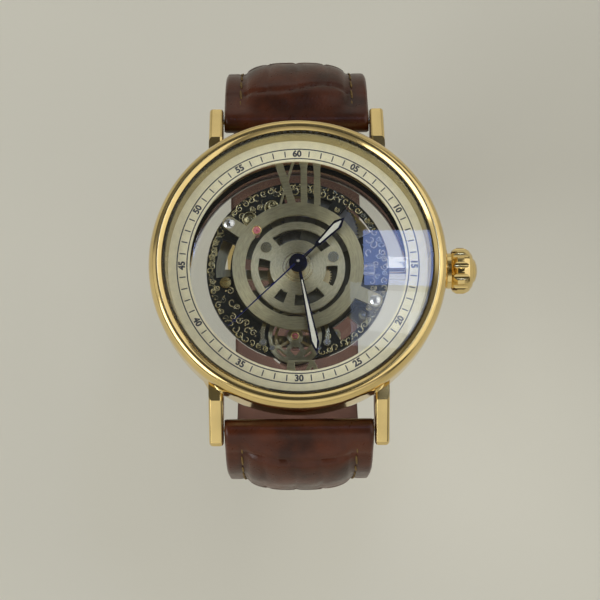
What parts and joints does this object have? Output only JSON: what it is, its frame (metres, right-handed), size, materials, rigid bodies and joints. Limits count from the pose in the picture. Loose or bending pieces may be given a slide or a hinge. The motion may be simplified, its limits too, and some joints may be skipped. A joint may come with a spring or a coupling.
{
  "type": "skeleton wristwatch",
  "caption": "Round hand-wound skeleton wristwatch: open-worked movement behind a ring dial, see-through back, onion crown and padded leather strap with a pin buckle.",
  "frame": {"origin": "centre of the case back's rear face, on the axis of the hands", "axes": "+Z through the dial to the crystal, +Y towards 12 o'clock, +X along the winding stem to the crown"},
  "size_m": [0.0481, 0.066, 0.075],
  "materials": {
    "gold_plate": "polished yellow gold plate",
    "steel_back": "brushed steel",
    "sapphire": "clear, anti-glare",
    "clear_acrylic": "clear moulded acrylic",
    "seal_rubber": "matte black",
    "dial_cream": "satin cream lacquer with black print",
    "nickel_plate": "brushed and engraved nickel",
    "nickel_bridge": "circular-brushed nickel with polished bevels",
    "ruby": "polished synthetic ruby",
    "polished_steel": "polished steel",
    "wheel_brass": "brushed brass",
    "blued_steel": "deep blue with cream fill",
    "strap_leather": "dark brown embossed leather, semi-gloss"
  },
  "bodies": {
    "case": {"case_middle": "gold_plate", "bezel": "gold_plate", "crystal": "sapphire", "case_gaskets": "seal_rubber", "rehaut": "gold_plate", "dial_ring": "dial_cream", "movement_holder": "clear_acrylic", "caseback_ring": "steel_back", "rear_crystal": "sapphire", "caseback_screws": "polished_steel", "crown_tube": "steel_back", "mainplate": "nickel_plate", "dial_bridge": "nickel_bridge", "numeral_six": "nickel_bridge", "inner_bridge": "nickel_bridge", "barrel_bridge": "nickel_bridge", "train_bridge": "nickel_bridge", "balance_bridge": "nickel_bridge", "balance_cock": "nickel_bridge", "balance_guards": "nickel_bridge", "jewels": "ruby", "dial_side_screws": "polished_steel", "back_screws": "polished_steel", "pallet_bridge": "nickel_bridge", "click_spring": "polished_steel", "setting_lever_spring": "polished_steel", "spring_bars": "polished_steel"},
    "crown_seal": {"crown_gasket": "seal_rubber"},
    "crown_and_stem": {"crown": "gold_plate", "winding_stem": "polished_steel"},
    "winding_pinion": {"winding_pinion": "polished_steel"},
    "sliding_pinion": {"sliding_pinion": "polished_steel"},
    "setting_lever": {"setting_lever": "polished_steel"},
    "yoke": {"yoke": "polished_steel"},
    "crown_wheel": {"crown_wheel": "polished_steel"},
    "ratchet": {"ratchet_wheel": "polished_steel", "barrel_arbor": "polished_steel"},
    "click": {"click": "polished_steel"},
    "minute_works": {"centre_wheel": "wheel_brass", "cannon_pinion": "polished_steel", "minute_hand": "blued_steel"},
    "barrel": {"barrel": "wheel_brass", "mainspring": "polished_steel"},
    "third_wheel": {"third_wheel": "wheel_brass"},
    "seconds": {"fourth_wheel": "wheel_brass", "second_hand": "blued_steel"},
    "escape_wheel": {"escape_wheel": "polished_steel"},
    "minute_wheel": {"minute_wheel": "wheel_brass"},
    "hour_works": {"hour_wheel": "wheel_brass", "hour_hand": "blued_steel"},
    "pallet_fork": {"pallet_fork": "polished_steel"},
    "balance": {"balance_wheel": "wheel_brass", "hairspring": "polished_steel"},
    "buckle_half": {"strap_buckle_half": "strap_leather", "buckle_bar": "polished_steel", "fixed_keeper": "strap_leather"},
    "long_half": {"strap_long_half": "strap_leather"},
    "buckle_frame": {"buckle_frame": "gold_plate"},
    "buckle_prong": {"buckle_prong": "gold_plate"},
    "free_keeper": {"free_keeper": "strap_leather"}
  },
  "joints": [
    {"name": "crown_pull", "type": "slide", "parent": "case", "child": "crown_seal", "axis": [1, 0, 0], "range_m": [0, 0.0009]},
    {"name": "crown_turn", "type": "hinge", "parent": "crown_seal", "child": "crown_and_stem", "pos_m": [0.023, 0, 0.0049], "axis": [1, 0, 0], "continuous": true},
    {"name": "winding_pinion_turn", "type": "hinge", "parent": "case", "child": "winding_pinion", "pos_m": [0.0107, 0, 0.0049], "axis": [1, 0, 0], "continuous": true},
    {"name": "sliding_pinion_turn", "type": "hinge", "parent": "case", "child": "sliding_pinion", "pos_m": [0.0094, 0, 0.0049], "axis": [1, 0, 0], "continuous": true},
    {"name": "crown_wheel_turn", "type": "hinge", "parent": "case", "child": "crown_wheel", "pos_m": [0.0092, 0, 0.002], "axis": [0, 0, 1], "continuous": true},
    {"name": "ratchet_turn", "type": "hinge", "parent": "case", "child": "ratchet", "pos_m": [0.00315, 0.00593, 0.002], "axis": [0, 0, 1], "continuous": true},
    {"name": "setting_lever_swing", "type": "hinge", "parent": "case", "child": "setting_lever", "pos_m": [0.01235, -0.0016, 0.0042], "axis": [0, 0, 1], "range_deg": [-32, 1]},
    {"name": "yoke_swing", "type": "hinge", "parent": "case", "child": "yoke", "pos_m": [0.0089, -0.0027, 0.0041], "axis": [0, 0, 1], "range_deg": [-1, 8]},
    {"name": "click_swing", "type": "hinge", "parent": "case", "child": "click", "pos_m": [0.0093, 0.0073, 0.0015], "axis": [0, 0, 1], "range_deg": [0, 10]},
    {"name": "minute_turn", "type": "hinge", "parent": "case", "child": "minute_works", "pos_m": [0, 0, 0.005], "axis": [0, 0, -1], "continuous": true},
    {"name": "barrel_turn", "type": "hinge", "parent": "case", "child": "barrel", "pos_m": [0.00315, 0.00593, 0.0035], "axis": [0, 0, -1], "continuous": true},
    {"name": "third_wheel_turn", "type": "hinge", "parent": "case", "child": "third_wheel", "pos_m": [0.00201, -0.00452, 0.003], "axis": [0, 0, -1], "continuous": true},
    {"name": "second_turn", "type": "hinge", "parent": "case", "child": "seconds", "pos_m": [0, 0, 0.003], "axis": [0, 0, -1], "continuous": true},
    {"name": "escape_wheel_turn", "type": "hinge", "parent": "case", "child": "escape_wheel", "pos_m": [-0.00284, -0.00392, 0.0035], "axis": [0, 0, -1], "continuous": true},
    {"name": "minute_wheel_turn", "type": "hinge", "parent": "case", "child": "minute_wheel", "pos_m": [0.00271, -0.00099, 0.006], "axis": [0, 0, -1], "continuous": true},
    {"name": "hour_turn", "type": "hinge", "parent": "case", "child": "hour_works", "pos_m": [0, 0, 0.006], "axis": [0, 0, -1], "continuous": true},
    {"name": "pallet_fork_swing", "type": "hinge", "parent": "case", "child": "pallet_fork", "pos_m": [-0.00195, -0.00625, 0.0035], "axis": [0, 0, 1], "range_deg": [-4, 4]},
    {"name": "balance_swing", "type": "hinge", "parent": "case", "child": "balance", "pos_m": [-0.0005, -0.01, 0.004], "axis": [0, 0, 1], "range_deg": [-270, 270]},
    {"name": "buckle_half_swing", "type": "hinge", "parent": "case", "child": "buckle_half", "pos_m": [0, 0.0237, 0.0043], "axis": [1, 0, 0], "range_deg": [0, 90]},
    {"name": "long_half_swing", "type": "hinge", "parent": "case", "child": "long_half", "pos_m": [0, -0.0237, 0.0043], "axis": [-1, 0, 0], "range_deg": [0, 90]},
    {"name": "buckle_frame_swing", "type": "hinge", "parent": "buckle_half", "child": "buckle_frame", "pos_m": [0, 0.02115, -0.05366], "axis": [1, 0, 0], "range_deg": [-40, 60]},
    {"name": "buckle_prong_swing", "type": "hinge", "parent": "buckle_frame", "child": "buckle_prong", "pos_m": [0, 0.02115, -0.05366], "axis": [1, 0, 0], "range_deg": [0, 70]},
    {"name": "free_keeper_slide", "type": "slide", "parent": "buckle_half", "child": "free_keeper", "axis": [0, -0.309, -0.9511], "range_m": [-0.002, 0.005]}
  ],
  "couplings": [
    {"joint": "winding_pinion_turn", "follows": "crown_turn", "ratio": 1},
    {"joint": "sliding_pinion_turn", "follows": "crown_turn", "ratio": 1},
    {"joint": "crown_wheel_turn", "follows": "crown_turn", "ratio": 0.66667},
    {"joint": "ratchet_turn", "follows": "crown_turn", "ratio": -0.41667},
    {"joint": "setting_lever_swing", "follows": "crown_pull", "rad_per_m": -610.87},
    {"joint": "yoke_swing", "follows": "crown_pull", "rad_per_m": 129.63},
    {"joint": "barrel_turn", "follows": "minute_turn", "ratio": -0.16667},
    {"joint": "third_wheel_turn", "follows": "minute_turn", "ratio": -8},
    {"joint": "second_turn", "follows": "minute_turn", "ratio": 60},
    {"joint": "escape_wheel_turn", "follows": "minute_turn", "ratio": -600},
    {"joint": "minute_wheel_turn", "follows": "minute_turn", "ratio": -0.33333},
    {"joint": "hour_turn", "follows": "minute_turn", "ratio": 0.083333}
  ]
}
